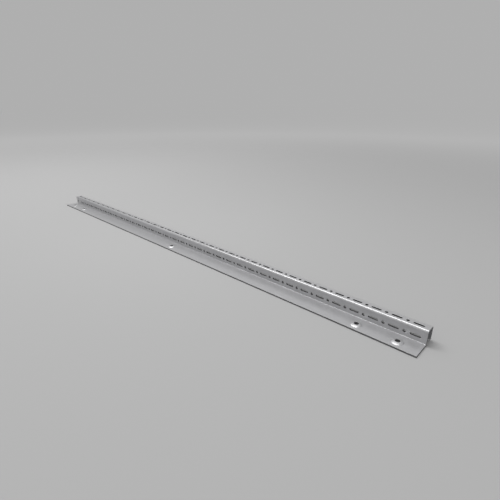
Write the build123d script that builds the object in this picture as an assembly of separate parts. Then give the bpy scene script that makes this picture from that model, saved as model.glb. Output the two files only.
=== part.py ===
# Punched mounting rail, bent from one length of zinc-plated sheet steel.
# Millimetres. X runs along the rail, Z is up and the base flange lies on Z = 0.
# The frame's origin is the middle of the length and of the depth, at the underside.

import os

from build123d import *

# Length and system punching
rail_length = 900.0
punch_pitch = 25.0
slot_length = 12.5
slot_width = 3.0
round_hole_diameter = 3.8

# Bent section
sheet = 2.0
base_width = 27.4
rail_height = 19.4
top_width = 14.6
bend_inner_radius = 0.7
back_edge_lift = 2.0
web_row_height = 8.8
top_row_inset = 6.6

# Screw holes in the base flange, each in a pressed dimple
screw_hole_diameter = 6.0
dimple_diameter = 14.2
dimple_raise = 1.3
dimple_row_inset = 11.7
dimple_end_inset = 25.0
dimple_pair_spacing = 50.0

# Punched openings between the end ones are drawn with this many sides
plain_sides = 12
end_openings = 2

# Places in the section that follow from the sizes above
rail_depth = base_width + top_width
front_y = -rail_depth / 2
web_front_y = front_y + base_width
web_back_y = web_front_y + sheet
back_outer_y = rail_depth / 2
back_inner_y = back_outer_y - sheet
top_row_y = web_front_y + top_row_inset
bend_outer_radius = bend_inner_radius + sheet

# Counts that follow from the length
slot_count = int(rail_length // punch_pitch)
hole_count = slot_count - 1


def bent_section():
    """Cross-section: base flange, web, top flange and back flange in one sheet."""
    face_side = [
        (front_y, sheet),
        (web_front_y, sheet),
        (web_front_y, rail_height),
        (back_outer_y, rail_height),
        (back_outer_y, back_edge_lift),
    ]
    hidden_side = [
        (front_y, 0),
        (web_back_y, 0),
        (web_back_y, rail_height - sheet),
        (back_inner_y, rail_height - sheet),
        (back_inner_y, back_edge_lift),
    ]
    face_path = FilletPolyline(*face_side, radius=[bend_inner_radius, bend_outer_radius, bend_outer_radius])
    hidden_path = FilletPolyline(*hidden_side, radius=[bend_outer_radius, bend_inner_radius, bend_inner_radius])
    base_edge = Line(face_side[0], hidden_side[0])
    back_edge = Line(face_side[-1], hidden_side[-1])
    return Plane.YZ * make_face(face_path.edges() + hidden_path.edges() + [base_edge, back_edge])


def plain_end(diameter):
    """A regular outline as wide across its flats as the diameter, with a flat on each side."""
    return RegularPolygon(diameter / 2, plain_sides, major_radius=False, rotation=180 / plain_sides)


def plain_slot():
    """A slot whose ends are drawn with flats."""
    end_x = (slot_length - slot_width) / 2
    ends = [Pos(x, 0) * plain_end(slot_width) for x in (-end_x, end_x)]
    return Rectangle(2 * end_x, slot_width) + ends


def placed_row(count, true_shape, plain_shape):
    """Openings one pitch apart, even about the middle, with the true shape at both ends."""
    places = [Pos((i - (count - 1) / 2) * punch_pitch, 0) for i in range(count)]
    ends = places[:end_openings] + places[-end_openings:]
    between = places[end_openings:-end_openings]
    return [place * true_shape for place in ends] + [place * plain_shape for place in between]


def punches(face):
    """Punches for one row on a face: slots with a round hole midway between each two."""
    slots = placed_row(slot_count, SlotOverall(slot_length, slot_width), plain_slot())
    holes = placed_row(hole_count, Circle(round_hole_diameter / 2), plain_end(round_hole_diameter))
    return [extrude(face * opening, amount=-sheet) for opening in slots + holes]


def dimple_ring():
    """A dimple pressed up out of the base flange: a low dome, level where the screw hole cuts it."""
    hole_r = screw_hole_diameter / 2
    foot_r = dimple_diameter / 2
    under = TangentArc((hole_r, dimple_raise), (foot_r, 0), tangent=(1, 0))
    over = TangentArc((hole_r, sheet + dimple_raise), (foot_r, sheet), tangent=(1, 0))
    hole_side = Line(under @ 0, over @ 0)
    foot_side = Line(under @ 1, over @ 1)
    return revolve(Plane.XZ * make_face([under, over, hole_side, foot_side]), axis=Axis.Z)


def dimple_places():
    """Screw places along the base: a pair near each end and one in the middle."""
    outer_x = rail_length / 2 - dimple_end_inset
    inner_x = outer_x - dimple_pair_spacing
    row_y = front_y + dimple_row_inset
    return [Pos(x, row_y, 0) for x in (-outer_x, -inner_x, 0, inner_x, outer_x)]


def mounting_rail():
    """The whole rail as one solid: the bent section, then its dimples, then the punching."""
    web_face = Plane(origin=(0, web_front_y, web_row_height), x_dir=(1, 0, 0), z_dir=(0, -1, 0))
    top_face = Plane(origin=(0, top_row_y, rail_height), x_dir=(1, 0, 0), z_dir=(0, 0, 1))
    blank = Cylinder(dimple_diameter / 2, sheet, align=(Align.CENTER, Align.CENTER, Align.MIN))
    body = extrude(bent_section(), amount=rail_length / 2, both=True)
    body -= [place * blank for place in dimple_places()]
    body += [place * dimple_ring() for place in dimple_places()]
    return body - (punches(web_face) + punches(top_face))


rail = mounting_rail()
os.makedirs("parts", exist_ok=True)
export_step(rail, "parts/mounting_rail.step")
print("solids", len(rail.solids()), "volume", round(rail.volume, 1), "box", rail.bounding_box())
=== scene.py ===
import math

import bpy
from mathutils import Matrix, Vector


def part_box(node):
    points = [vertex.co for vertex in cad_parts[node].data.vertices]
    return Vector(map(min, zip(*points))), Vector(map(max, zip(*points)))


# The mounting rail as a finished product: one length of bent, punched, zinc-plated sheet steel.
# Metres. X runs along the rail, Z is up and the base flange lies on the floor at Z = 0.

MILLIMETRE = 0.001

# The bent sheet, as it lies in the frame, with the room that each bend takes up
SHEET = 2.0 * MILLIMETRE
BASE_WIDTH = 27.4 * MILLIMETRE
BEND_ROOM = 3.0 * MILLIMETRE

# Camera, in the place that the even pitch of the rail's openings gives it
IMAGE_PX = 500
FOCAL_PX = 366.5
SENSOR_MM = 36.0
CLIP_START = 10 * MILLIMETRE
CAMERA_AT = (0.5411, -0.3668, 0.2455)
CAMERA_TILT_DOWN = 0.378
CAMERA_TURN = 0.762

# Zinc-plated steel
STEEL_TONE = (0.5, 0.5, 0.51)
STEEL_METALLIC = 0.6
STEEL_ROUGHNESS = 0.37

# Clouding of the zinc, with a finer speckle in it
CLOUD_BAND = (0.3, 0.7)
CLOUD_SIZE = 14 * MILLIMETRE
CLOUD_SHADE = 0.035
CLOUD_ROUGHNESS = 0.03
SPECKLES_PER_CLOUD = 12
SPECKLE_ROUGHNESS = 0.02
SPECKLE_RELIEF = 0.5

# Grain along the rail
GRAIN_BAND = (0.25, 0.75)
GRAIN_WIDTH = 0.35 * MILLIMETRE
GRAIN_STRETCH = 60.0
GRAIN_SHADE = 0.02
RELIEF_DEPTH = 0.0012 * MILLIMETRE

# Edges that handling has rubbed bright, found by how far a rounded normal strays from the flat one
EDGE_RADIUS = 0.25 * MILLIMETRE
EDGE_SAMPLES = 4
FLAT_LIKENESS = 0.99
EDGE_LIKENESS = 0.8
EDGE_SHADE = 0.1
EDGE_ROUGHNESS = -0.08

# Faces that a tool has cut through the sheet. They lie a thin skin inside its own two faces, and the
# direction a face looks in tells whether it stands upright or closes an end.
SKIN = 0.05 * MILLIMETRE
UPRIGHT_LEAN = 0.1
END_FACING = 0.9
# Painted shade: the cut faces are darkened to stand in for the shade in the openings, on the ends and on
# the front edge. Their duller roughness is the cut steel's own.
SHEARED_PAINTED_SHADE = 0.3
SHEARED_ROUGHNESS = 0.16

# Surroundings: the floor's tone near the rail, and the distances over which it fades to white
FLOOR_DROP = 0.05 * MILLIMETRE
FLOOR_SIZE = 30.0
FLOOR_TONE = 0.4
FLOOR_FADE = (0.2, 3.0)
WORLD_LEVEL = 0.43

# Softboxes, each long in X and turned about X to face the rail
SOFTBOXES = {
    "top_softbox": dict(place=(-0.2, -0.05, 1.2), length=1.5, width=0.5, watts=14.5),
    "front_softbox": dict(place=(0.1, -1.6, 1.0), length=1.2, width=1.2, watts=2.2),
    "back_softbox": dict(place=(-0.4, 0.8, 1.2), length=1.6, width=0.8, watts=1.5),
}


class NodeTree:
    """A material's or world's node tree, with short ways to add and join nodes."""

    def __init__(self, owner):
        owner.use_nodes = True
        self.tree = owner.node_tree
        self.tree.nodes.clear()

    def add(self, kind, inputs=None, **settings):
        """A new node with its settings made, and its inputs fed by name."""
        node = self.tree.nodes.new(kind)
        for name, value in settings.items():
            setattr(node, name, value)
        for name, value in (inputs or {}).items():
            self.feed(value, node.inputs[name])
        return node

    def feed(self, value, socket):
        """Join an output to the socket, or set the socket to a plain value."""
        if isinstance(value, bpy.types.NodeSocket):
            self.tree.links.new(value, socket)
        else:
            socket.default_value = value

    def maths(self, operation, *values):
        node = self.add("ShaderNodeMath", operation=operation)
        for value, socket in zip(values, node.inputs):
            self.feed(value, socket)
        return node.outputs[0]

    def ramp(self, value, low, high, to_low=0.0, to_high=1.0):
        """A value carried smoothly from one range to another."""
        node = self.add("ShaderNodeMapRange", interpolation_type="SMOOTHSTEP", inputs={
            "Value": value, "From Min": low, "From Max": high, "To Min": to_low, "To Max": to_high})
        return node.outputs["Result"]

    def noise(self, vector, scale, detail):
        node = self.add("ShaderNodeTexNoise", inputs={"Vector": vector, "Scale": scale, "Detail": detail})
        return node.outputs["Fac"]

    def parts_of(self, vector):
        return self.add("ShaderNodeSeparateXYZ", inputs={"Vector": vector}).outputs

    def between(self, value, low, high):
        """One where the value lies between two limits, nought elsewhere."""
        return self.maths("COMPARE", value, (low + high) / 2, (high - low) / 2)

    def joined(self, operation, first, *others):
        """Several masks made into one by the same operation."""
        mask = first
        for other in others:
            mask = self.maths(operation, mask, other)
        return mask

    def all_of(self, *masks):
        return self.joined("MULTIPLY", *masks)

    def any_of(self, *masks):
        return self.joined("MAXIMUM", *masks)


def rolled_grain(tree, place):
    """Fine streaks along the rail, left by the mill that rolled the sheet."""
    across = 1 / GRAIN_WIDTH
    along = across / GRAIN_STRETCH
    stretched = tree.add("ShaderNodeMapping", inputs={"Vector": place, "Scale": (along, across, across)})
    return tree.noise(stretched.outputs["Vector"], 1.0, detail=3.0)


def rubbed_edges(tree, soft_normal):
    """One along the sharp edges, nought on the flats."""
    flat_normal = tree.add("ShaderNodeNewGeometry").outputs["Normal"]
    likeness = tree.add("ShaderNodeVectorMath", operation="DOT_PRODUCT")
    tree.feed(flat_normal, likeness.inputs[0])
    tree.feed(soft_normal, likeness.inputs[1])
    return tree.ramp(likeness.outputs["Value"], FLAT_LIKENESS, EDGE_LIKENESS)


def sheared_and_painted_shade_faces(tree, place):
    """One where a tool has cut through the sheet: in openings, on both ends and on the front edge. These
    faces are made duller, and darkened as painted shade.
    """
    low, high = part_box("mounting_rail")
    web_front = low[1] + BASE_WIDTH
    _, y, z = tree.parts_of(place)
    facing = tree.parts_of(tree.add("ShaderNodeNewGeometry").outputs["True Normal"])
    inside_web = tree.all_of(
        tree.between(y, web_front + SKIN, web_front + SHEET - SKIN),
        tree.between(z, BEND_ROOM, high[2] - BEND_ROOM))
    inside_top = tree.all_of(
        tree.between(y, web_front + BEND_ROOM, high[1] - BEND_ROOM),
        tree.between(z, high[2] - SHEET + SKIN, high[2] - SKIN))
    upright_on_base = tree.all_of(
        tree.between(y, low[1] - SKIN, web_front - BEND_ROOM),
        tree.between(z, -SKIN, 2 * SHEET),
        tree.between(facing["Z"], -UPRIGHT_LEAN, UPRIGHT_LEAN))
    on_end = tree.maths("GREATER_THAN", tree.maths("ABSOLUTE", facing["X"]), END_FACING)
    return tree.any_of(inside_web, inside_top, upright_on_base, on_end)


def zinc_plated_steel():
    """Bright zinc on rolled sheet: soft clouding, fine grain, rubbed edges, and sheared faces made duller
    and darkened with painted shade.
    """
    material = bpy.data.materials.new("zinc_plated_steel")
    tree = NodeTree(material)
    place = tree.add("ShaderNodeTexCoord").outputs["Object"]
    rounded = tree.add("ShaderNodeBevel", samples=EDGE_SAMPLES, inputs={"Radius": EDGE_RADIUS})
    soft_normal = rounded.outputs["Normal"]

    cloud = tree.noise(place, 1 / CLOUD_SIZE, detail=4.0)
    speckle = tree.noise(place, SPECKLES_PER_CLOUD / CLOUD_SIZE, detail=2.0)
    grain = rolled_grain(tree, place)
    edge = rubbed_edges(tree, soft_normal)
    sheared_and_painted_shade = sheared_and_painted_shade_faces(tree, place)

    clouding = tree.ramp(cloud, *CLOUD_BAND, 1 - CLOUD_SHADE, 1 + CLOUD_SHADE)
    streaks = tree.ramp(grain, *GRAIN_BAND, -GRAIN_SHADE, GRAIN_SHADE)
    shade = tree.maths("ADD", clouding, streaks)
    shade = tree.maths("MULTIPLY_ADD", edge, EDGE_SHADE, shade)
    # Painted shade: the sheared faces are darkened to stand in for the shade in the openings, on the ends
    # and on the front edge.
    shade = tree.maths("MULTIPLY", shade, tree.ramp(sheared_and_painted_shade, 0.0, 1.0, 1.0, SHEARED_PAINTED_SHADE))
    tone = tree.add("ShaderNodeVectorMath", operation="SCALE", inputs={"Scale": shade})
    tone.inputs[0].default_value = STEEL_TONE

    dull_spots = tree.ramp(speckle, *CLOUD_BAND, -SPECKLE_ROUGHNESS, SPECKLE_ROUGHNESS)
    roughness = tree.ramp(
        cloud, *CLOUD_BAND, STEEL_ROUGHNESS + CLOUD_ROUGHNESS, STEEL_ROUGHNESS - CLOUD_ROUGHNESS)
    roughness = tree.maths("ADD", roughness, dull_spots)
    roughness = tree.maths("MULTIPLY_ADD", edge, EDGE_ROUGHNESS, roughness)
    roughness = tree.maths("MULTIPLY_ADD", sheared_and_painted_shade, SHEARED_ROUGHNESS, roughness)

    relief = tree.maths("MULTIPLY_ADD", speckle, SPECKLE_RELIEF, grain)
    bump = tree.add("ShaderNodeBump", inputs={
        "Strength": 1.0, "Distance": RELIEF_DEPTH, "Height": relief, "Normal": soft_normal})
    shader = tree.add("ShaderNodeBsdfPrincipled", inputs={
        "Metallic": STEEL_METALLIC, "Base Color": tone.outputs["Vector"], "Roughness": roughness,
        "Normal": bump.outputs["Normal"]})
    tree.add("ShaderNodeOutputMaterial", inputs={"Surface": shader.outputs["BSDF"]})
    return material


def pale_floor_material():
    """Matt, and whiter where the lamps no longer reach, so that it meets the world with no horizon."""
    material = bpy.data.materials.new("pale_floor")
    tree = NodeTree(material)
    place = tree.add("ShaderNodeTexCoord").outputs["Object"]
    distance = tree.add("ShaderNodeVectorMath", operation="LENGTH")
    tree.feed(place, distance.inputs[0])
    tone = tree.ramp(distance.outputs["Value"], *FLOOR_FADE, FLOOR_TONE, 1.0)
    shader = tree.add("ShaderNodeBsdfDiffuse", inputs={"Color": tone})
    tree.add("ShaderNodeOutputMaterial", inputs={"Surface": shader.outputs["BSDF"]})
    return material


def finish_rail():
    """Give the rail its finish; its shape stays as it was made."""
    steel = zinc_plated_steel()
    for slot in bpy.data.objects["mounting_rail"].material_slots:
        slot.material = steel


def add_floor():
    bpy.ops.mesh.primitive_plane_add(size=FLOOR_SIZE, location=(0, 0, -FLOOR_DROP))
    floor = bpy.context.object
    floor.name = "floor"
    floor.data.materials.append(pale_floor_material())


def add_world():
    world = bpy.data.worlds.new("pale_world")
    bpy.context.scene.world = world
    tree = NodeTree(world)
    sky = tree.add("ShaderNodeBackground", inputs={"Color": (1, 1, 1, 1), "Strength": WORLD_LEVEL})
    tree.add("ShaderNodeOutputWorld", inputs={"Surface": sky.outputs["Background"]})


def add_softbox(name, place, length, width, watts):
    data = bpy.data.lights.new(name, "AREA")
    data.shape = "RECTANGLE"
    data.size = length
    data.size_y = width
    data.energy = watts
    lamp = bpy.data.objects.new(name, data)
    bpy.context.collection.objects.link(lamp)
    lamp.location = place
    lamp.rotation_euler.x = -math.atan2(place[1], place[2])


def add_camera():
    data = bpy.data.cameras.new("camera")
    data.sensor_width = SENSOR_MM
    data.lens = FOCAL_PX / IMAGE_PX * SENSOR_MM
    data.clip_start = CLIP_START
    data.clip_end = 2 * FLOOR_SIZE
    camera = bpy.data.objects.new("camera", data)
    bpy.context.collection.objects.link(camera)
    camera.location = CAMERA_AT
    camera.rotation_euler = (math.pi / 2 - CAMERA_TILT_DOWN, 0, CAMERA_TURN)
    bpy.context.scene.camera = camera


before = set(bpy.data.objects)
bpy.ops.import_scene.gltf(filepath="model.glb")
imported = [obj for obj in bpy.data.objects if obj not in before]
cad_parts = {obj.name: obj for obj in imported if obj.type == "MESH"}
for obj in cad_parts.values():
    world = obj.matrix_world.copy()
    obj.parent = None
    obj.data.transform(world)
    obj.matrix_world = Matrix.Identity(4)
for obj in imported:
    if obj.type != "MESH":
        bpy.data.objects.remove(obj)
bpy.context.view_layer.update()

finish_rail()
add_floor()
add_world()
for softbox_name, softbox in SOFTBOXES.items():
    add_softbox(softbox_name, **softbox)
add_camera()
bpy.context.scene.view_settings.view_transform = "Standard"
